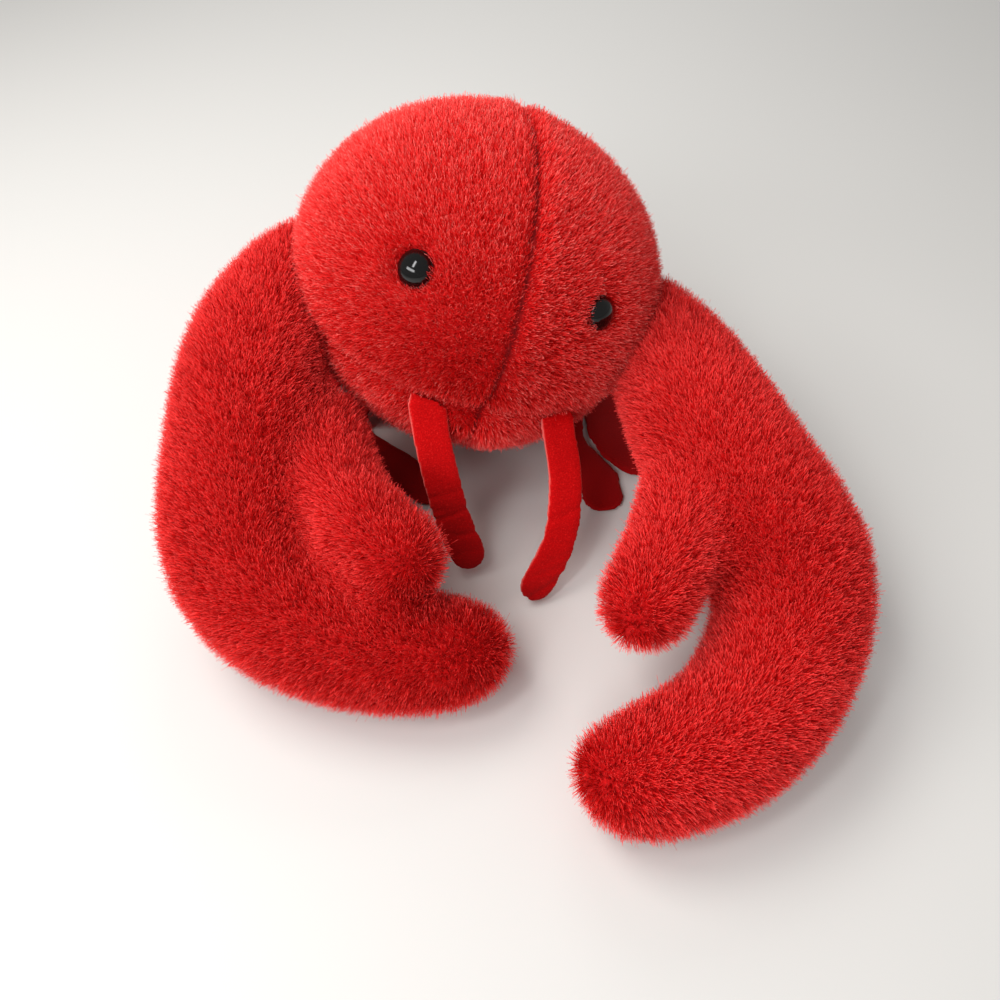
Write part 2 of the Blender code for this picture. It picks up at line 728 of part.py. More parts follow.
def make_washer(name):
    """A flat ring that grips the shank inside the head."""
    inner = SHANK_RADIUS + GAP
    top = -WASHER_DEPTH
    bottom = top - WASHER_THICKNESS
    corners = ((inner, top), (WASHER_RADIUS, top), (WASHER_RADIUS, bottom), (inner, bottom))
    angles = np.linspace(0.0, 2 * math.pi, TURNED_SIDES, endpoint=False)
    vertices = [(r * math.cos(a), r * math.sin(a), z) for a in angles for r, z in corners]
    faces = []
    for k in range(TURNED_SIDES):
        here = len(corners) * k
        there = len(corners) * ((k + 1) % TURNED_SIDES)
        for j in range(len(corners)):
            after = (j + 1) % len(corners)
            faces.append((here + j, here + after, there + after, there + j))
    return mesh_object(name, vertices, faces, washer_plastic())


def make_eye(word, side, body):
    """A safety eye, the washer behind the skin and the pocket that both sit in."""
    angles = np.array(side * EYE_SIDE_ANGLE + EYE_SIDE_SHIFT), np.array(EYE_RISE_ANGLE)
    normal = skin_normal(*angles)
    seat = skin_point(*angles) - normal * EYE_SINK
    outward = Matrix.Rotation(side * EYE_TURN_OUT, 3, Vector(face_axes()[2])) @ Vector(normal)
    place = Matrix.Translation(seat) @ outward.to_track_quat("Z", "Y").to_matrix().to_4x4()
    eye = turned(f"eye_{word}", eye_profile(), eye_plastic())
    washer = make_washer(f"eye_washer_{word}")
    pocket = turned("eye_pocket", eye_pocket_profile(), plush())
    for piece in (eye, washer, pocket):
        piece.matrix_world = place
    with_boolean(body, pocket, "DIFFERENCE")


def centre_on_origin():
    """Parents every piece to one empty that puts the toy's footprint over the origin."""
    bpy.context.view_layer.update()
    pieces = [item for item in bpy.context.scene.objects if item.type == "MESH"]
    corners = np.array([
        item.matrix_world @ Vector(corner) for item in pieces for corner in item.bound_box
    ])
    middle = (corners.min(axis=0) + corners.max(axis=0)) / 2
    stand = bpy.data.objects.new("lobster", None)
    bpy.context.scene.collection.objects.link(stand)
    for piece in pieces:
        piece.parent = stand
    stand.location = (-middle[0], -middle[1], 0.0)


def main():
    for old in list(bpy.data.objects):
        bpy.data.objects.remove(old)
    body = make_body()
    make_claw_arm("claw_arm_right", -1, RIGHT_ARM_ROUTE, RIGHT_THUMB_ROUTE, body)
    make_claw_arm("claw_arm_left", 1, LEFT_ARM_ROUTE, LEFT_THUMB_ROUTE, body)
    tail = make_tail(body)
    make_tail_fan(tail)
    make_antenna("antenna_right", RIGHT_ANTENNA_ANGLE, RIGHT_ANTENNA_ROUTE, body)
    make_antenna("antenna_left", LEFT_ANTENNA_ANGLE, LEFT_ANTENNA_ROUTE, body)
    make_legs(body)
    make_eye("right", -1, body)
    make_eye("left", 1, body)
    centre_on_origin()


main()
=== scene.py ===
"""Looks of the plush lobster: stuffed skins, long pile, velour strips, glossy eyes, floor and light.

The toy faces -Y, its left side is +X and it rests on the floor at Z = 0, all in metres.
"""

import math

import bmesh
import bpy
import numpy as np
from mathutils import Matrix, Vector
from mathutils.bvhtree import BVHTree


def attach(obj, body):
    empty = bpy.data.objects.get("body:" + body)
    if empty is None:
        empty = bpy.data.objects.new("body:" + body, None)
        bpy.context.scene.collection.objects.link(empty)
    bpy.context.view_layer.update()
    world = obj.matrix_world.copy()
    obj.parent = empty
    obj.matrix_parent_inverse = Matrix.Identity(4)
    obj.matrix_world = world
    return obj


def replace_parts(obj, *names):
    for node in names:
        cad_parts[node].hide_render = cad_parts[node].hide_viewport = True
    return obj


SEED = 20

# Camera, with its focal length in pixels of an image 1000 pixels high
CAMERA_PLACE = (-0.0352, -0.3266, 0.2920)
CAMERA_DOWN = math.radians(48)
CAMERA_TURN = math.radians(-9)
IMAGE_HEIGHT = 1000
FOCAL_LENGTH = 850
CAMERA_FIELD = 2 * math.atan(IMAGE_HEIGHT / 2 / FOCAL_LENGTH)
NEAREST_SEEN = 0.0100

# The head, whose middle and lean set the seams and the lie of the pile
HEAD_CENTRE = np.array((0.0053, -0.0122, 0.0825))
HEAD_RADIUS = 0.0720
HEAD_ROLL = math.radians(18.5)
HEAD_TURN = math.radians(-2.0)
MOUTH_ANGLE = math.radians(-15.5)
MOUTH_END_ANGLE = math.radians(72)
MOUTH_END_FADE = math.radians(14)

# Stuffed skins
WELD_DISTANCE = 0.00002
VOXEL = 0.0050
SKIN_DEPTH = 0.0020
SKIN_SWELL = 0.0014
SKIN_FLOOR_GAP = 0.0016
PRESSURE = 4.0
LAST_FRAME = 20
SMOOTHING_PASSES = 6
SMOOTHING_STRENGTHS = (0.5, -0.52)
SEAM_PIN_WIDTH = 0.0040
LEAST_PIN = 0.02
SOLID_SEAM_WIDTH = 0.0072
CENTRE_SEAM_FILL = 0.0030
SEAM_GROOVE = 0.0014
SEAM_GROOVE_WIDTH = 0.0022
SEAM_SHADE_WIDTH = 0.0018
MOUTH_GROOVE = 0.0030
MOUTH_GROOVE_WIDTH = 0.0034
PUCKER_GROOVE = 0.0020
PUCKER_WIDTH = 0.0060
CHIN_PUFF = 0.0036
CHIN_PUFF_SPREAD = math.radians(7)
CHIN_PUFFS = (
    (math.radians(8), math.radians(-26)),
    (math.radians(-8), math.radians(-24)),
)

# Pile: a dense undercoat of short hairs, and longer hairs that stand out of it, painted paler as highlight
HAIRS = {
    "undercoat": dict(
        density=1.80e6, length=0.0040, root_width=0.00048, tip_width=0.0, lean=math.radians(28),
        tints=(0.21, 0.5),
    ),
    "pile": dict(
        density=2.60e6, length=0.0051, root_width=0.0, tip_width=0.00016, lean=math.radians(40),
        tints=(0.5, 1.0),
    ),
}
PIECE_HAIRS = 190000
# Painted shade: the claws' hairs take darker tints than the body's
CLAW_PAINTED_SHADE = 0.21
LENGTH_SPREAD = 0.16
LEAN_SPREAD = math.radians(13)
SPREAD_LIMIT = 2.0
TURN_SPREAD = math.radians(40)
BLADE_ROLL = math.radians(30)
BLADE_WIDTHS = (0.75, 1.25)
ROOT_SINK = 0.0004
HAIR_FLOOR = 0.0003
TUFT_SIZE = 0.0018
TUFT_PULL = 0.10
TUFT_PRIMES = (73856093, 19349663, 83492791)
STRAY_SHARE = 0.010
STRAY_LENGTH = 1.35
ROOM_REACH = 0.0090
ROOM_START = 0.0012
LEAST_ROOM = 0.0014
UNDERSIDE_SHARE = 0.35
UNDERSIDE_FACING = -0.75
SEAM_PART_WIDTH = 0.0026
SEAM_SHORTEN = 0.50
SEAM_BARE_WIDTH = 0.00035
MOUTH_BARE_WIDTH = 0.00065
PARTING_WIDTH = 0.0080
PARTING = 0.9
LIE_BLEND_WIDTH = 0.0120

# The hairs' map: a margin all round, and how wide a blade is in it
MAP_LOW = 0.01
MAP_HIGH = 0.99
BLADE_MAP_HALF_WIDTH = 0.004

# Safety eyes
EYE_RADIUS = 0.0070
EYE_DOME_RADIUS = 0.0066
EYE_DOME_HEIGHT = 0.0054
EYE_RIM_HEIGHT = 0.0010
EYE_RIM_BEVEL = 0.25
EYE_SHANK_RADIUS = 0.0024
EYE_SHANK_LENGTH = 0.0150
EYE_SEAT_RAMP = 0.0050
EYE_SEAT_SLOPE = 0.9
EYE_SEAT_SINK = 0.0006
EYE_SEAT_REACH = 0.0200
EYE_PILE_REACH = 0.0045
EYE_PILE_HEIGHT = 0.0120
EYE_PILE_COMB = 0.5
EYE_PILE_SHORTEN = 0.12
EYE_OPENING = 0.0049
EYE_OPENING_BACK = 0.0010
EYE_SEGMENTS = 64
EYE_RINGS = 14
EYE_SHARP_ANGLE = math.radians(40)
EYE_TOP_SPAN = 0.00001

# Velour strips
ANTENNA_VOXEL = 0.0007
LEG_VOXEL = 0.0009
STRIP_SMOOTHING_PASSES = 14
# Where a strip's edges turn away, for their painted highlight
STRIP_EDGE_TURN = (0.55, 0.95)
STRIP_ROOT_SPAN = 0.0040
ANTENNAE = ("antenna_right", "antenna_left")
LEGS = tuple(f"leg_{side}_{number}" for side in ("right", "left") for number in (1, 2, 3, 4))
WRINKLE_PLACES = (0.50, 0.60, 0.66, 0.74, 0.80, 0.90)
WRINKLE_DEPTH = 0.00075
WRINKLE_DEPTH_SHARES = (0.3, 1.0)
WRINKLE_WIDTH = 0.0012
WRINKLE_SLANT_SPREAD = 0.15
WRINKLE_SHIFT_SPREAD = 0.012
# Painted shade: antennae darken towards the end, legs all over
ANTENNA_TIP_SHADE = 0.45
LEG_SHADE = 0.62

# Lines down the middle of each claw arm, from the shoulder to the end of the finger or thumb, and of
# the tail
RIGHT_ARM_LINE = (
    (-0.032, 0.012, 0.080), (-0.062, 0.002, 0.083), (-0.090, -0.040, 0.074), (-0.101, -0.099, 0.041),
    (-0.078, -0.140, 0.025), (-0.024, -0.156, 0.019), (-0.004, -0.152, 0.017),
)
RIGHT_THUMB_LINE = ((-0.082, -0.070, 0.047), (-0.064, -0.096, 0.052), (-0.029, -0.145, 0.048))
LEFT_ARM_LINE = (
    (0.043, -0.002, 0.060), (0.083, -0.052, 0.060), (0.093, -0.126, 0.052), (0.100, -0.164, 0.035),
    (0.073, -0.199, 0.023), (0.032, -0.213, 0.018), (0.009, -0.207, 0.017),
)
LEFT_THUMB_LINE = ((0.083, -0.108, 0.050), (0.064, -0.134, 0.052), (0.031, -0.176, 0.044))
TAIL_LINE = ((0.005, 0.080, 0.030), (0.005, 0.240, 0.012))

# Floor and light
FLOOR_HALF_SIDE = 4.0
FLOOR_COLOUR = (0.71, 0.703, 0.685, 1.0)
SKY = (0.30, 0.294, 0.286)
WHITE = (1.0, 1.0, 1.0)
HEAD_PLACE = (0.0, -0.05, 0.10)

# Lamps: two soft ones that the eyes don't mirror, one for the floor behind, two panels that they do
LAMPS = {
    "key": dict(
        place=(-0.40, 0.14, 0.72), target=(0.0, -0.03, 0.08), size=(0.45, 0.45), power=4.0,
        colour=(1.0, 0.975, 0.94), mirrored=False,
    ),
    "front": dict(
        place=(-0.60, -1.15, 0.80), target=(0.0, -0.05, 0.08), size=(0.7, 0.7), power=8.6,
        colour=WHITE, mirrored=False,
    ),
    "back": dict(
        place=(0.20, 1.00, 0.90), target=(0.20, 0.70, 0.0), size=(0.6, 0.6), power=3.6,
        colour=WHITE, mirrored=True,
    ),
    "upright_panel": dict(
        place=(-0.28, -0.29, 0.62), target=HEAD_PLACE, size=(0.09, 0.30), power=1.0,
        colour=WHITE, mirrored=True,
    ),
    "level_panel": dict(
        place=(-0.46, -0.36, 0.40), target=HEAD_PLACE, size=(0.42, 0.10), power=1.2,
        colour=WHITE, mirrored=True,
    ),
}


def face_axes():
    """The face's own left, forward and up directions."""
    forward = np.array((math.sin(HEAD_TURN), -math.cos(HEAD_TURN), 0.0))
    level = np.array((math.cos(HEAD_TURN), math.sin(HEAD_TURN), 0.0))
    upright = np.array((0.0, 0.0, 1.0))
    left = math.cos(HEAD_ROLL) * level - math.sin(HEAD_ROLL) * upright
    up = math.sin(HEAD_ROLL) * level + math.cos(HEAD_ROLL) * upright
    return left, forward, up


def face_angles(points):
    """Side angle, rise angle and distance of points as seen from the middle of the head."""
    left, forward, up = face_axes()
    away = points - HEAD_CENTRE
    radius = np.linalg.norm(away, axis=1)
    side = np.arctan2(away @ left, away @ forward)
    rise = np.arcsin(np.clip(away @ up / radius, -1.0, 1.0))
    return side, rise, radius


def seam_offsets(points):
    """How far points lie from the centre seam and from the mouth seam, in metres."""
    side, rise, radius = face_angles(points)
    behind = np.minimum(np.abs(side), np.pi - np.abs(side))
    centre = radius * np.cos(rise) * np.sin(behind)
    mouth = radius * (rise - MOUTH_ANGLE)
    mouth_fade = np.clip((MOUTH_END_ANGLE - np.abs(side)) / MOUTH_END_FADE, 0.0, 1.0)
    return centre, mouth, mouth_fade


def pucker_place():
    """The point where the centre seam meets the mouth seam."""
    _, forward, up = face_axes()
    return HEAD_CENTRE + HEAD_RADIUS * (math.cos(MOUTH_ANGLE) * forward + math.sin(MOUTH_ANGLE) * up)


def bump(offset, width):
    """1 where the offset is nothing, and near 0 beyond twice the width."""
    return np.exp(-((offset / width) ** 2))


def unit(vectors):
    """The vectors, each made 1 long."""
    return vectors / np.maximum(np.linalg.norm(vectors, axis=-1, keepdims=True), 1e-12)


def flat_part(vectors, normals):
    """What is left of vectors once their part along the normals is taken out."""
    return vectors - (vectors * normals).sum(axis=1, keepdims=True) * normals


def get_points(mesh):
    """The mesh's points, one row each."""
    points = np.empty(len(mesh.vertices) * 3, np.float32)
    mesh.vertices.foreach_get("co", points)
    return points.reshape(-1, 3).astype(float)


def set_points(mesh, points):
    """Moves the mesh's points to new places."""
    mesh.vertices.foreach_set("co", points.astype(np.float32).ravel())
    mesh.update()


def get_normals(mesh):
    """The direction that the mesh faces at each point."""
    normals = np.empty(len(mesh.vertices) * 3, np.float32)
    mesh.vertices.foreach_get("normal", normals)
    return normals.reshape(-1, 3).astype(float)


def add_piece(name, mesh, finish):
    """Puts a finished mesh in the scene as a piece that rides on the toy."""
    mesh.materials.clear()
    mesh.materials.append(finish)
    mesh.shade_smooth()
    piece = bpy.data.objects.new(name, mesh)
    bpy.context.scene.collection.objects.link(piece)
    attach(piece, "root")
    return piece


def applied(mesh, name, kind, **settings):
    """The mesh as one modifier leaves it."""
    holder = bpy.data.objects.new(name, mesh)
    bpy.context.scene.collection.objects.link(holder)
    modifier = holder.modifiers.new(name, kind)
    for key, value in settings.items():
        setattr(modifier, key, value)
    graph = bpy.context.evaluated_depsgraph_get()
    made = bpy.data.meshes.new_from_object(holder.evaluated_get(graph))
    bpy.data.objects.remove(holder)
    bpy.data.meshes.remove(mesh)
    made.name = name
    return made


def welded_copy(node, name):
    """A copy of a CAD node's mesh with its split corners joined again."""
    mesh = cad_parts[node].data.copy()
    mesh.name = name
    builder = bmesh.new()
    builder.from_mesh(mesh)
    bmesh.ops.remove_doubles(builder, verts=builder.verts, dist=WELD_DISTANCE)
    builder.to_mesh(mesh)
    builder.free()
    return mesh


def smoothed(mesh, passes):
    """Evens out the mesh without shrinking it: each pass averages, then gives most of it back."""
    edges = np.empty(len(mesh.edges) * 2, np.int32)
    mesh.edges.foreach_get("vertices", edges)
    a, b = edges.reshape(-1, 2).T
    points = get_points(mesh)
    count = np.bincount(a, minlength=len(points)) + np.bincount(b, minlength=len(points))
    for strength in SMOOTHING_STRENGTHS * passes:
        total = np.zeros_like(points)
        for axis in range(3):
            total[:, axis] = np.bincount(a, points[b, axis], len(points))
            total[:, axis] += np.bincount(b, points[a, axis], len(points))
        points += strength * (total / count[:, None] - points)
    set_points(mesh, points)
    return mesh


def inflated(mesh, name, pinned):
    """Blows the sewn skin up against its pinned seams, by no more than the cap."""
    start = get_points(mesh)
    holder = bpy.data.objects.new(name, mesh)
    bpy.context.scene.collection.objects.link(holder)
    group = holder.vertex_groups.new(name="seams")
    for index in np.flatnonzero(pinned > LEAST_PIN):
        group.add([int(index)], float(pinned[index]), "REPLACE")
    cloth = holder.modifiers.new("stuffing", "CLOTH")
    cloth.settings.use_pressure = True
    cloth.settings.uniform_pressure_force = PRESSURE
    cloth.settings.effector_weights.gravity = 0.0
    cloth.settings.vertex_group_mass = group.name
    cloth.collision_settings.use_collision = False
    cloth.point_cache.frame_end = LAST_FRAME
    for number in range(1, LAST_FRAME + 1):
        bpy.context.scene.frame_set(number)
    graph = bpy.context.evaluated_depsgraph_get()
    swollen = holder.evaluated_get(graph)
    end = get_points(swollen.data)
    bpy.data.objects.remove(holder)
    bpy.context.scene.frame_set(1)
    move = end - start
    size = np.linalg.norm(move, axis=1, keepdims=True)
    capped = SKIN_SWELL * np.tanh(size / SKIN_SWELL)
    set_points(mesh, start + move * capped / np.maximum(size, 1e-9))
    return mesh


def eye_place(node):
    """The middle of an eye's flat back and the direction that it looks in."""
    points = get_points(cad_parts[node].data)
    middle = (points.max(axis=0) + points.min(axis=0)) / 2
    axis = np.linalg.svd(points - points.mean(axis=0), full_matrices=False)[2][0]
    outward = axis * np.sign(axis @ (middle - HEAD_CENTRE))
    heights = (points - middle) @ outward
    top = points[heights > heights.max() - EYE_TOP_SPAN].mean(axis=0)
    return top - outward * EYE_DOME_HEIGHT, outward


def eye_rings(points, seat, outward):
    """How far points lie from an eye's axis, which way, and how far in front of its flat back."""
    away = points - seat
    height = away @ outward
    flat = away - height[:, None] * outward
    return np.linalg.norm(flat, axis=1), flat, height


def seat_eyes(points):
    """Presses the skin down behind each eye, so that the eye sits in a hollow."""
    for seat, outward in EYES.values():
        ring, _, height = eye_rings(points, seat, outward)
        near = (ring < EYE_RADIUS + EYE_SEAT_RAMP) & (np.abs(height) < EYE_SEAT_REACH)
        allowed = -EYE_SEAT_SINK + EYE_SEAT_SLOPE * np.clip(ring - EYE_RADIUS, 0.0, None)
        drop = np.where(near, np.clip(height - allowed, 0.0, None), 0.0)
        points = points - drop[:, None] * outward
    return points


def sew_body(points, normals):
    """Draws the seams of the face and the back into the skin."""
    centre, mouth, fade = seam_offsets(points)
    depth = SEAM_GROOVE * bump(centre, SEAM_GROOVE_WIDTH)
    depth -= CENTRE_SEAM_FILL * bump(centre, SOLID_SEAM_WIDTH)
    depth += MOUTH_GROOVE * bump(mouth, MOUTH_GROOVE_WIDTH) * fade
    depth += PUCKER_GROOVE * bump(np.linalg.norm(points - pucker_place(), axis=1), PUCKER_WIDTH)
    side, rise, _ = face_angles(points)
    for puff_side, puff_rise in CHIN_PUFFS:
        depth -= CHIN_PUFF * bump(np.hypot(side - puff_side, rise - puff_rise), CHIN_PUFF_SPREAD)
    return seat_eyes(points - depth[:, None] * normals)


def body_seams(points, width):
    """How near points lie to the body's seams: 1 on a seam, 0 well away from it."""
    centre, mouth, fade = seam_offsets(points)
    return np.maximum(bump(centre, width), bump(mouth, width) * fade)


def no_seams(points, width):
    """The answer of body_seams for a piece that has none."""
    return np.zeros(len(points))


def make_skin(node, seams, sew):
    """The sewn skin of one stuffed piece, inside its pile."""
    name = node + "_skin"
    mesh = applied(welded_copy(node, name), name, "REMESH", mode="VOXEL", voxel_size=VOXEL)
    smoothed(mesh, SMOOTHING_PASSES)
    points = get_points(mesh) - SKIN_DEPTH * get_normals(mesh)
    set_points(mesh, points)
    inflated(mesh, name, seams(points, SEAM_PIN_WIDTH))
    mesh = applied(mesh, name, "SUBSURF", levels=1)
    if sew:
        set_points(mesh, sew(get_points(mesh), get_normals(mesh)))
    points = get_points(mesh)
    points[:, 2] = np.maximum(points[:, 2], SKIN_FLOOR_GAP)
    set_points(mesh, points)
    # Dark along the seams: partly the seam itself, partly painted shade
    shade = mesh.attributes.new("seam", "FLOAT", "POINT")
    shade.data.foreach_set("value", seams(points, SEAM_SHADE_WIDTH).astype(np.float32))
    skin = add_piece(name, mesh, SKIN_FINISH)
    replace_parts(skin, node)
    return skin


def body_lie(points, normals):
    """The pile of the body lies away from the middle of the mouth and from both seams."""
    left, _, up = face_axes()
    side, _, _ = face_angles(points)
    centre, mouth, fade = seam_offsets(points)
    lie = unit(flat_part(points - pucker_place(), normals))
    aside = PARTING * np.sign(side) * bump(centre, PARTING_WIDTH)
    upward = PARTING * np.sign(mouth) * bump(mouth, PARTING_WIDTH) * fade
    return unit(lie + flat_part(aside[:, None] * left + upward[:, None] * up, normals))


def line_lie(lines, sense):
    """The pile lies along the nearest of several lines: sense 1 with it, -1 against it."""
    starts = np.array([a for line in lines for a in line[:-1]])
    ends = np.array([b for line in lines for b in line[1:]])

    def lie(points, normals):
        along = ends - starts
        share = ((points[:, None] - starts) * along).sum(axis=2) / (along**2).sum(axis=1)
        share = np.clip(share, 0.0, 1.0)
        gap = np.linalg.norm(points[:, None] - starts - share[..., None] * along, axis=2)
        weight = np.exp(-((gap - gap.min(axis=1, keepdims=True)) / LIE_BLEND_WIDTH) ** 2)
        return unit(flat_part(sense * weight @ unit(along), normals))

    return lie


def scattered(mesh, density, random):
    """Spreads places evenly over a mesh: the triangle's corners at each, and their shares in it."""
    mesh.calc_loop_triangles()
    corners = np.empty(len(mesh.loop_triangles) * 3, np.int32)
    mesh.loop_triangles.foreach_get("vertices", corners)
    corners = corners.reshape(-1, 3)
    points = get_points(mesh)[corners]
    area = np.linalg.norm(np.cross(points[:, 1] - points[:, 0], points[:, 2] - points[:, 0]), axis=1) / 2
    facing_down = get_normals(mesh)[corners][:, :, 2].mean(axis=1) < UNDERSIDE_FACING
    weight = area * np.where(facing_down, UNDERSIDE_SHARE, 1.0)
    count = int(weight.sum() * density)
    chosen = random.choice(len(area), count, p=weight / weight.sum())
    u, v = random.random((2, count))
    over = u + v > 1
    u, v = np.where(over, 1 - u, u), np.where(over, 1 - v, v)
    return corners[chosen], np.stack((1 - u - v, u, v), axis=1)


def mixed(values, corners, shares):
    """The values at the scattered places, mixed from those at the corners."""
    return (values[corners] * shares[..., None]).sum(axis=1)


def surface_tree(mesh):
    """The mesh as a tree that rays can be cast at."""
    mesh.calc_loop_triangles()
    triangles = [tuple(t.vertices) for t in mesh.loop_triangles]
    return BVHTree.FromPolygons([tuple(p) for p in get_points(mesh)], triangles)


def tree_and_box(piece):
    """A piece's tree, with its lowest and highest corners."""
    points = get_points(piece.data)
    return surface_tree(piece.data), points.min(axis=0), points.max(axis=0)


def room_above(mesh, trees):
    """How far each point of a skin is from the skin that faces it, across a fold or a joint."""
    room = np.full((len(mesh.vertices), 1), ROOM_REACH)
    for k, (point, normal) in enumerate(zip(get_points(mesh), get_normals(mesh))):
        start, way = Vector(point + ROOM_START * normal), Vector(normal)
        for tree in trees:
            gap = tree.ray_cast(start, way, ROOM_REACH)[3]
            if gap is not None:
                room[k] = min(room[k, 0], gap + ROOM_START)
    return room


def clear_of_strips(paths, strips):
    """Which hairs don't pass through a velour strip."""
    keep = np.ones(len(paths), bool)
    for tree, low, high in strips:
        near = np.all((paths[:, 0] > low - ROOM_REACH) & (paths[:, 0] < high + ROOM_REACH), axis=1)
        for k in np.flatnonzero(near & keep):
            step = Vector(paths[k, 1] - paths[k, 0])
            keep[k] = tree.ray_cast(Vector(paths[k, 0]), step, step.length)[0] is None
    return keep


def part_round_eyes(roots, normals, lie, length):
    """Combs the hairs beside each eye a little away from it, and drops those under it."""
    keep = np.ones(len(roots), bool)
    for seat, outward in EYES.values():
        ring, flat, height = eye_rings(roots, seat, outward)
        beside = np.abs(height) < EYE_PILE_HEIGHT
        keep &= ~(beside & (ring < EYE_RADIUS))
        pull = np.where(beside, 1.0 - (ring - EYE_RADIUS) / EYE_PILE_REACH, 0.0).clip(0.0, 1.0)
        aside = flat_part(unit(flat), normals)
        lie[:] = unit(lie + EYE_PILE_COMB * pull[:, None] * aside)
        length *= 1.0 - EYE_PILE_SHORTEN * pull
    return keep


def clear_of_eyes(paths):
    """Which hairs leave the middle of each eye free: a few may cross its rim."""
    keep = np.ones(len(paths), bool)
    for seat, outward in EYES.values():
        ring, _, height = eye_rings(paths[:, 1], seat, outward)
        ahead = (height > -EYE_OPENING_BACK) & (height < EYE_SEAT_REACH)
        keep &= ~((ring < EYE_OPENING) & ahead)
    return keep


def tufted(roots, tips):
    """Draws the tips of neighbouring hairs together into small tufts."""
    cells = np.floor(roots / TUFT_SIZE).astype(np.int64)
    keys = cells @ np.array(TUFT_PRIMES)
    _, group, size = np.unique(keys, return_inverse=True, return_counts=True)
    middle = np.column_stack([np.bincount(group, tips[:, k]) / size for k in range(3)])
    return tips + TUFT_PULL * (middle[group] - tips)


def hair_paths(roots, normals, lie, lean, length, random):
    """Root and tip of each hair, which leans over the way the pile lies, give or take a little."""
    turn = random.normal(0.0, 1.0, len(roots)) * TURN_SPREAD
    across = np.cross(normals, lie)
    lie = np.cos(turn)[:, None] * lie + np.sin(turn)[:, None] * across
    along = np.cos(lean)[:, None] * normals + np.sin(lean)[:, None] * lie
    paths = np.stack((roots - ROOT_SINK * normals, tufted(roots, roots + length[:, None] * along)), axis=1)
    paths[:, 1, 2] = np.maximum(paths[:, 1, 2], HAIR_FLOOR)
    return paths


def blades_across(paths, normals, random):
    """Which way each blade is wide, and by how much against the others."""
    along = unit(paths[:, 1] - paths[:, 0])
    across = unit(np.cross(along, normals) + 1e-9)
    roll = random.normal(0.0, 1.0, len(paths)) * BLADE_ROLL
    across = np.cos(roll)[:, None] * across + np.sin(roll)[:, None] * np.cross(across, along)
    return across * random.uniform(*BLADE_WIDTHS, len(paths))[:, None]


def hair_mesh(name, paths, across, hair, drop, random):
    """Thin blades, with a map of each one's tint and of the height along it."""
    count = len(paths)
    if hair["tip_width"]:
        point, ends, half = paths[:, 0], paths[:, 1], hair["tip_width"] / 2
        heights = (MAP_LOW, MAP_HIGH, MAP_HIGH)
    else:
        point, ends, half = paths[:, 1], paths[:, 0], hair["root_width"] / 2
        heights = (MAP_HIGH, MAP_LOW, MAP_LOW)
    points = np.stack((point, ends - half * across, ends + half * across), axis=1)
    mesh = bpy.data.meshes.new(name)
    mesh.vertices.add(3 * count)
    mesh.vertices.foreach_set("co", points.astype(np.float32).ravel())
    mesh.loops.add(3 * count)
    mesh.loops.foreach_set("vertex_index", np.arange(3 * count, dtype=np.int32))
    mesh.polygons.add(count)
    mesh.polygons.foreach_set("loop_start", np.arange(0, 3 * count, 3, dtype=np.int32))
    mesh.update(calc_edges=True)
    # drop darkens the tints as painted shade
    tint = MAP_LOW + (MAP_HIGH - MAP_LOW) * (random.uniform(*hair["tints"], count) - drop)
    sides = tint[:, None] + np.array((0.0, -BLADE_MAP_HALF_WIDTH, BLADE_MAP_HALF_WIDTH))
    upward = np.broadcast_to(heights, sides.shape)
    layer = mesh.uv_layers.new(name="OFBake")
    layer.data.foreach_set("uv", np.stack((sides, upward), axis=2).astype(np.float32).ravel())
    return mesh


def spread(count, random):
    """Random numbers about 0, most of them under 1 and none past the limit."""
    return random.normal(0.0, 1.0, count).clip(-SPREAD_LIMIT, SPREAD_LIMIT)


def hair_places(skin, density, room, random):
    """Root, normal and free height of each hair that has room to stand."""
    corners, shares = scattered(skin.data, density, random)
    free = mixed(room, corners, shares)[:, 0]
    roomy = free > LEAST_ROOM
    corners, shares = corners[roomy], shares[roomy]
    roots = mixed(get_points(skin.data), corners, shares)
    normals = unit(mixed(get_normals(skin.data), corners, shares))
    return roots, normals, free[roomy]


def clear_of_seams(roots):
    """Which hairs leave the body's seams bare."""
    centre, mouth, fade = seam_offsets(roots)
    return (np.abs(centre) > SEAM_BARE_WIDTH) & ((np.abs(mouth) > MOUTH_BARE_WIDTH) | (fade == 0.0))


def grow_hairs(node, kind, skin, room, lie_at, strips, random):
    """Covers one stuffed piece with one kind of hair, in as many meshes as that needs."""
    hair = HAIRS[kind]
    roots, normals, free = hair_places(skin, hair["density"], room, random)
    count = len(roots)
    lie = lie_at(roots, normals)
    lean = hair["lean"] + LEAN_SPREAD * spread(count, random)
    length = hair["length"] * (1.0 + LENGTH_SPREAD * spread(count, random))
    length[random.random(count) < STRAY_SHARE] *= STRAY_LENGTH
    keep = np.ones(count, bool)
    if node == "body":
        length *= 1.0 - SEAM_SHORTEN * body_seams(roots, SEAM_PART_WIDTH)
        keep = part_round_eyes(roots, normals, lie, length) & clear_of_seams(roots)
    paths = hair_paths(roots, normals, lie, lean, np.minimum(length, free), random)
    keep &= clear_of_eyes(paths)
    keep[keep] = clear_of_strips(paths[keep], strips)
    across = blades_across(paths, normals, random)
    order = np.flatnonzero(keep)
    order = order[np.argsort(paths[order, 0, 1], kind="stable")]
    # Painted shade on the claws
    drop = CLAW_PAINTED_SHADE if node.startswith("claw") else 0.0
    for number, part in enumerate(np.array_split(order, math.ceil(len(order) / PIECE_HAIRS))):
        name = f"{node}_{kind}_{number + 1}"
        mesh = hair_mesh(name, paths[part], across[part], hair, drop, random)
        add_piece(name, mesh, PILE_FINISH)


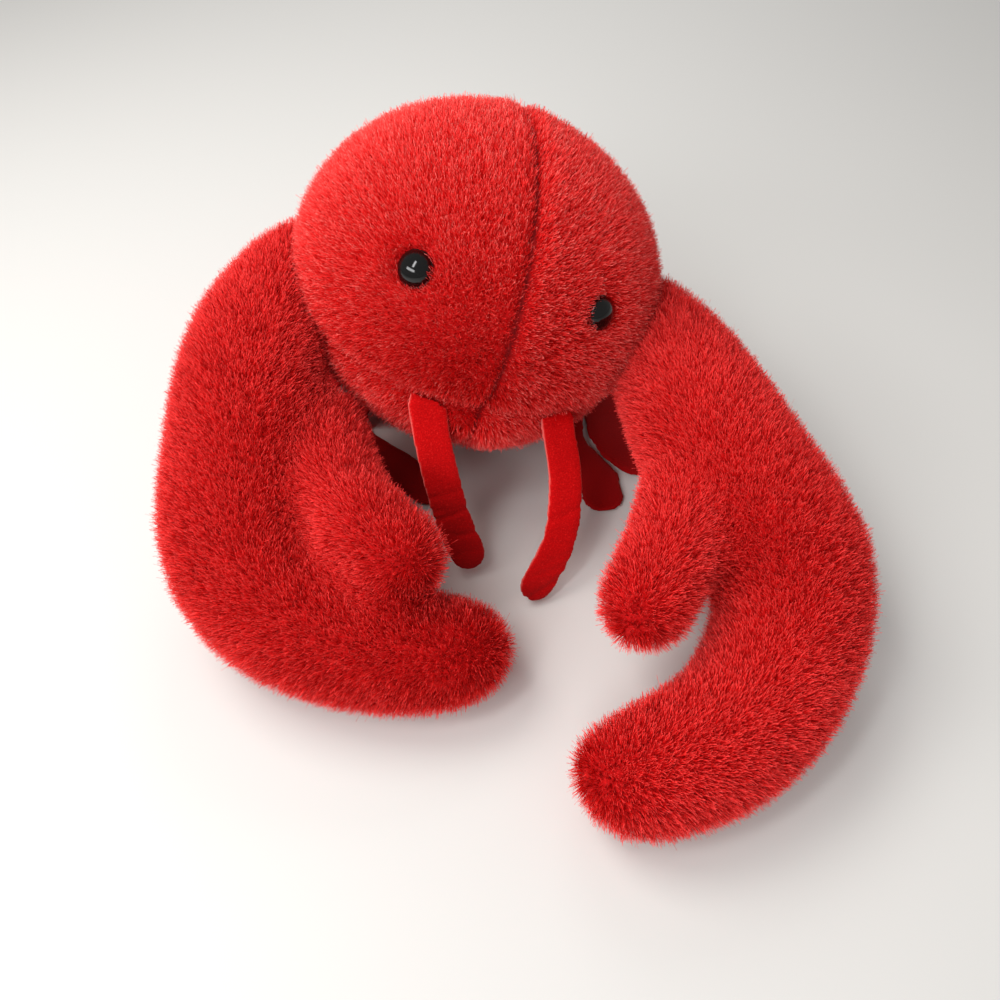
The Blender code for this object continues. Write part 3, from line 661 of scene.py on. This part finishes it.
def strip_across(node, points):
    """Which way a strip is wide."""
    if node.startswith("antenna"):
        return face_axes()[0]
    inner = points[:, 0].min() if "left" in node else points[:, 0].max()
    root = points[np.abs(points[:, 0] - inner) < STRIP_ROOT_SPAN].mean(axis=0)
    tip = points[np.linalg.norm(points - root, axis=1).argmax()]
    return unit(np.cross(tip - root, (0.0, 0.0, 1.0)))


def share_down(points):
    """0 at the top of a strip, 1 at its lowest point."""
    heights = points[:, 2]
    return (heights.max() - heights) / (heights.max() - heights.min())


def wrinkle_relief(points, across, random):
    """Small creases across the lower part of an antenna."""
    low, high = points[:, 2].min(), points[:, 2].max()
    down = share_down(points)
    offsets = (points - points.mean(axis=0)) @ across
    relief = np.zeros(len(points))
    for place in WRINKLE_PLACES:
        slant = random.normal(0.0, WRINKLE_SLANT_SPREAD) * offsets
        gap = (down - place - random.normal(0.0, WRINKLE_SHIFT_SPREAD)) * (high - low) - slant
        relief -= WRINKLE_DEPTH * random.uniform(*WRINKLE_DEPTH_SHARES) * bump(gap, WRINKLE_WIDTH)
    return relief


def make_strip(node, random):
    """A flat turned strip of velour: antennae have a painted highlight along their edges and painted shade
    towards the end, legs painted shade all over.
    """
    name = node + "_velour"
    antenna = node.startswith("antenna")
    voxel = ANTENNA_VOXEL if antenna else LEG_VOXEL
    mesh = applied(welded_copy(node, name), name, "REMESH", mode="VOXEL", voxel_size=voxel)
    smoothed(mesh, STRIP_SMOOTHING_PASSES)
    points, normals = get_points(mesh), get_normals(mesh)
    across = strip_across(node, points)
    turned, shade = np.zeros(len(points)), np.full(len(points), LEG_SHADE)
    if antenna:
        # Painted highlight where the edges turn away, painted shade towards the end
        start, end = STRIP_EDGE_TURN
        turned = np.clip((np.abs(normals @ across) - start) / (end - start), 0.0, 1.0)
        shade = ANTENNA_TIP_SHADE * share_down(points) ** 2
        set_points(mesh, points + wrinkle_relief(points, across, random)[:, None] * normals)
    for label, values in (("edge", turned), ("shade", shade)):
        layer = mesh.attributes.new(label, "FLOAT", "POINT")
        layer.data.foreach_set("value", values.astype(np.float32))
    strip = add_piece(name, mesh, VELOUR_FINISH)
    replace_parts(strip, node)
    return strip


def eye_profile():
    """A polished dome on a thin rim, with the plain shank that holds it behind."""
    crown = EYE_DOME_HEIGHT - EYE_RIM_HEIGHT
    profile = [
        (EYE_DOME_RADIUS * math.sin(t), EYE_RIM_HEIGHT + crown * math.cos(t))
        for t in np.linspace(0.0, math.pi / 2, EYE_RINGS)
    ]
    edge = EYE_RIM_BEVEL * EYE_RIM_HEIGHT
    profile += [(EYE_RADIUS - edge, EYE_RIM_HEIGHT), (EYE_RADIUS, EYE_RIM_HEIGHT - edge)]
    profile += [(EYE_RADIUS, 0.0), (EYE_SHANK_RADIUS, 0.0)]
    return profile + [(EYE_SHANK_RADIUS, -EYE_SHANK_LENGTH), (0.0, -EYE_SHANK_LENGTH)]


def make_eye(node):
    """A safety eye, turned finely enough for its highlights."""
    seat, outward = EYES[node]
    profile = eye_profile()
    turn = np.array(Vector(outward).to_track_quat("Z", "Y").to_matrix())
    angles = np.linspace(0.0, 2 * math.pi, EYE_SEGMENTS, endpoint=False)
    vertices = [(0.0, 0.0, profile[0][1])]
    vertices += [(r * math.cos(a), r * math.sin(a), z) for r, z in profile[1:-1] for a in angles]
    vertices.append((0.0, 0.0, profile[-1][1]))
    last = len(vertices) - 1
    faces = []
    for k in range(EYE_SEGMENTS):
        after = (k + 1) % EYE_SEGMENTS
        faces.append((0, 1 + k, 1 + after))
        for row in range(len(profile) - 3):
            near, far = 1 + row * EYE_SEGMENTS, 1 + (row + 1) * EYE_SEGMENTS
            faces.append((near + k, far + k, far + after, near + after))
        bottom = 1 + (len(profile) - 3) * EYE_SEGMENTS
        faces.append((bottom + k, last, bottom + after))
    mesh = bpy.data.meshes.new(node + "_glossy")
    mesh.from_pydata([tuple(seat + turn @ np.array(v)) for v in vertices], [], faces)
    eye = add_piece(node + "_glossy", mesh, EYE_FINISH)
    mesh.set_sharp_from_angle(angle=EYE_SHARP_ANGLE)
    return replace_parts(eye, node)


def new_material(name, **inputs):
    """A Principled material: returns it with its node tree and shader."""
    made = bpy.data.materials.new(name)
    made.use_nodes = True
    shader = made.node_tree.nodes["Principled BSDF"]
    for key, value in inputs.items():
        shader.inputs[key.replace("_", " ")].default_value = value
    return made, made.node_tree, shader


def colour_ramp(tree, share, stops):
    """The colour that a share between 0 and 1 has on a ramp."""
    ramp = tree.nodes.new("ShaderNodeValToRGB")
    elements = ramp.color_ramp.elements
    while len(elements) < len(stops):
        elements.new(0.5)
    for element, (place, colour) in zip(elements, stops):
        element.position = place
        element.color = (*colour, 1.0)
    tree.links.new(share, ramp.inputs[0])
    return ramp.outputs[0]


def colour_mix(tree, first, second, share, blend="MIX"):
    """Two colours mixed: each input is a socket or a plain value."""
    mix = tree.nodes.new("ShaderNodeMix")
    mix.data_type = "RGBA"
    mix.blend_type = blend
    for name, value in (("A", first), ("B", second), ("Factor", share)):
        if isinstance(value, bpy.types.NodeSocket):
            tree.links.new(value, mix.inputs[name])
        else:
            mix.inputs[name].default_value = value
    return mix.outputs["Result"]


def noise_share(tree, scale, coordinates="Generated"):
    """A noise of the given fineness, as a share between 0 and 1."""
    place = tree.nodes.new("ShaderNodeTexCoord")
    noise = tree.nodes.new("ShaderNodeTexNoise")
    noise.inputs["Scale"].default_value = scale
    tree.links.new(place.outputs[coordinates], noise.inputs["Vector"])
    return noise.outputs["Fac"]


def attribute_share(tree, name):
    """A share that the mesh carries at its points."""
    attribute = tree.nodes.new("ShaderNodeAttribute")
    attribute.attribute_name = name
    return attribute.outputs["Fac"]


def pile_material():
    """Pile: deep red at the root as painted shade, paler at the tip as painted sheen, each hair a little
    different and the palest ones painted highlight.
    """
    made, tree, shader = new_material("plush_pile", Roughness=0.62, Specular_IOR_Level=0.35)
    place = tree.nodes.new("ShaderNodeUVMap")
    place.uv_map = "OFBake"
    split = tree.nodes.new("ShaderNodeSeparateXYZ")
    tree.links.new(place.outputs["UV"], split.inputs[0])
    # Painted shade darkens the root, painted sheen lightens the tip
    height = colour_ramp(tree, split.outputs["Y"], (
        (0.0, (0.52, 0.000, 0.001)),
        (0.30, (0.74, 0.001, 0.001)),
        (0.62, (0.90, 0.010, 0.009)),
        (1.0, (0.96, 0.075, 0.068)),
    ))
    # Each hair's tint, picked at random: the palest end is painted highlight, and the darkest end, which
    # only the claws reach, painted shade
    tint = colour_ramp(tree, split.outputs["X"], (
        (0.0, (0.44, 0.28, 0.28)),
        (0.25, (0.80, 0.60, 0.60)),
        (0.5, (1.0, 0.8, 0.8)),
        (0.78, (1.0, 1.0, 1.0)),
        (1.0, (1.0, 3.6, 3.4)),
    ))
    tree.links.new(colour_mix(tree, height, tint, 1.0, "MULTIPLY"), shader.inputs["Base Color"])
    return made


def skin_material():
    """The knitted backing that shows between the hairs, dark along the seams: partly the seam itself,
    partly painted shade from the parted pile.
    """
    made, tree, shader = new_material("plush_skin", Roughness=0.9)
    noise = noise_share(tree, 900.0, "Object")
    knit = colour_ramp(tree, noise, ((0.35, (0.44, 0.000, 0.001)), (0.65, (0.60, 0.001, 0.002))))
    # The seams: partly their own dark line, partly painted shade
    sewn = colour_mix(tree, knit, (0.16, 0.000, 0.001, 1.0), attribute_share(tree, "seam"))
    tree.links.new(sewn, shader.inputs["Base Color"])
    return made


def velour_material():
    """Velour: a fine dense nap with faint flecks, with a painted highlight at the edges and painted shade
    by place.
    """
    made, tree, shader = new_material(
        "velour", Roughness=0.85, Specular_IOR_Level=0.2,
        Sheen_Weight=0.08, Sheen_Roughness=0.45, Sheen_Tint=(1.0, 0.25, 0.22, 1.0),
    )
    noise = noise_share(tree, 1700.0, "Object")
    nap = colour_ramp(tree, noise, (
        (0.30, (0.46, 0.000, 0.001)),
        (0.60, (0.63, 0.001, 0.002)),
        (0.74, (0.78, 0.016, 0.014)),
    ))
    # Painted highlight along the edges, then painted shade
    painted_edge_highlight = colour_mix(tree, nap, (0.86, 0.16, 0.14, 1.0), attribute_share(tree, "edge"))
    shaded = colour_mix(tree, painted_edge_highlight, (0.12, 0.000, 0.001, 1.0), attribute_share(tree, "shade"))
    bumps = tree.nodes.new("ShaderNodeBump")
    bumps.inputs["Strength"].default_value = 0.3
    bumps.inputs["Distance"].default_value = 0.0003
    tree.links.new(noise, bumps.inputs["Height"])
    tree.links.new(shaded, shader.inputs["Base Color"])
    tree.links.new(bumps.outputs["Normal"], shader.inputs["Normal"])
    return made


def eye_material():
    """Black glossy plastic with faint scuffs."""
    made, tree, shader = new_material("eye_plastic", Base_Color=(0.003, 0.003, 0.003, 1.0))
    span = tree.nodes.new("ShaderNodeMapRange")
    span.inputs["To Min"].default_value = 0.05
    span.inputs["To Max"].default_value = 0.11
    tree.links.new(noise_share(tree, 600.0), span.inputs["Value"])
    tree.links.new(span.outputs["Result"], shader.inputs["Roughness"])
    return made


def washer_material():
    """White moulded plastic."""
    made, tree, shader = new_material("washer_plastic", Roughness=0.5)
    noise = noise_share(tree, 400.0)
    mould = colour_ramp(tree, noise, ((0.3, (0.70, 0.69, 0.65)), (0.7, (0.78, 0.77, 0.73))))
    tree.links.new(mould, shader.inputs["Base Color"])
    return made


def add_camera():
    """A camera in front of and above the toy, at its place in the photograph."""
    data = bpy.data.cameras.new("camera")
    data.sensor_fit = "VERTICAL"
    data.angle = CAMERA_FIELD
    data.clip_start = NEAREST_SEEN
    camera = bpy.data.objects.new("camera", data)
    camera.location = CAMERA_PLACE
    camera.rotation_euler = (math.pi / 2 - CAMERA_DOWN, 0.0, CAMERA_TURN)
    bpy.context.scene.collection.objects.link(camera)
    bpy.context.scene.camera = camera


def add_floor():
    """A plain pale floor."""
    half = FLOOR_HALF_SIDE
    mesh = bpy.data.meshes.new("floor")
    corners = [(-half, -half, 0), (half, -half, 0), (half, half, 0), (-half, half, 0)]
    mesh.from_pydata(corners, [], [(0, 1, 2, 3)])
    made, _, _ = new_material("floor", Base_Color=FLOOR_COLOUR, Roughness=0.6)
    mesh.materials.append(made)
    floor = bpy.data.objects.new("floor", mesh)
    bpy.context.scene.collection.objects.link(floor)


def add_lamp(name, place, target, size, power, colour, mirrored):
    """A rectangular lamp that looks at its target."""
    data = bpy.data.lights.new(name, "AREA")
    data.shape = "RECTANGLE"
    data.size, data.size_y = size
    data.energy = power
    data.color = colour
    lamp = bpy.data.objects.new(name, data)
    lamp.location = place
    lamp.rotation_euler = (Vector(target) - Vector(place)).to_track_quat("-Z", "Y").to_euler()
    lamp.visible_glossy = mirrored
    bpy.context.scene.collection.objects.link(lamp)


def add_light():
    """An even sky and the lamps."""
    world = bpy.data.worlds.new("sky")
    world.use_nodes = True
    background = world.node_tree.nodes["Background"]
    background.inputs["Color"].default_value = (*SKY, 1.0)
    background.inputs["Strength"].default_value = 1.0
    bpy.context.scene.world = world
    for name, lamp in LAMPS.items():
        add_lamp(name, **lamp)


# The frame, the finishes and the stage
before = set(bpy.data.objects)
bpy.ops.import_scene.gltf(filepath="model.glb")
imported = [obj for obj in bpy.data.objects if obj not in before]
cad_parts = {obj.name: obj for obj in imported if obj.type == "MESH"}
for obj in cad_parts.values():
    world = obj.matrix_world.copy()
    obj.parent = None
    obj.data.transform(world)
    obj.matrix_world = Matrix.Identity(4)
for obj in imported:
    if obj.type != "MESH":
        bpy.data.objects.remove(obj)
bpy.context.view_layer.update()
random = np.random.default_rng(SEED)
bpy.context.scene.view_settings.view_transform = "Standard"
EYES = {node: eye_place(node) for node in ("eye_right", "eye_left")}
SKIN_FINISH = skin_material()
PILE_FINISH = pile_material()
VELOUR_FINISH = velour_material()
EYE_FINISH = eye_material()
WASHER_FINISH = washer_material()

add_camera()
add_floor()
add_light()

# Each stuffed piece's seams, its sewing and how its pile lies
STUFFED = {
    "body": (body_seams, sew_body, body_lie),
    "claw_arm_right": (no_seams, None, line_lie((RIGHT_ARM_LINE, RIGHT_THUMB_LINE), -1)),
    "claw_arm_left": (no_seams, None, line_lie((LEFT_ARM_LINE, LEFT_THUMB_LINE), -1)),
    "tail": (no_seams, None, line_lie((TAIL_LINE,), 1)),
    "tail_fan": (no_seams, None, line_lie((TAIL_LINE,), 1)),
}

# Skins, strips and eyes
skins = {node: make_skin(node, seams, sew) for node, (seams, sew, _) in STUFFED.items()}
strips = [make_strip(node, random) for node in ANTENNAE + LEGS]
for eye in EYES:
    make_eye(eye)
for node in ("eye_washer_right", "eye_washer_left"):
    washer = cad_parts[node]
    washer.data.materials.clear()
    washer.data.materials.append(WASHER_FINISH)

# Pile
skin_trees = [surface_tree(skin.data) for skin in skins.values()]
strip_trees = [tree_and_box(strip) for strip in strips]
for node, (_, _, lie_at) in STUFFED.items():
    room = room_above(skins[node].data, skin_trees)
    for kind in HAIRS:
        grow_hairs(node, kind, skins[node], room, lie_at, strip_trees, random)

# Bring the scene up to date
bpy.context.view_layer.update()
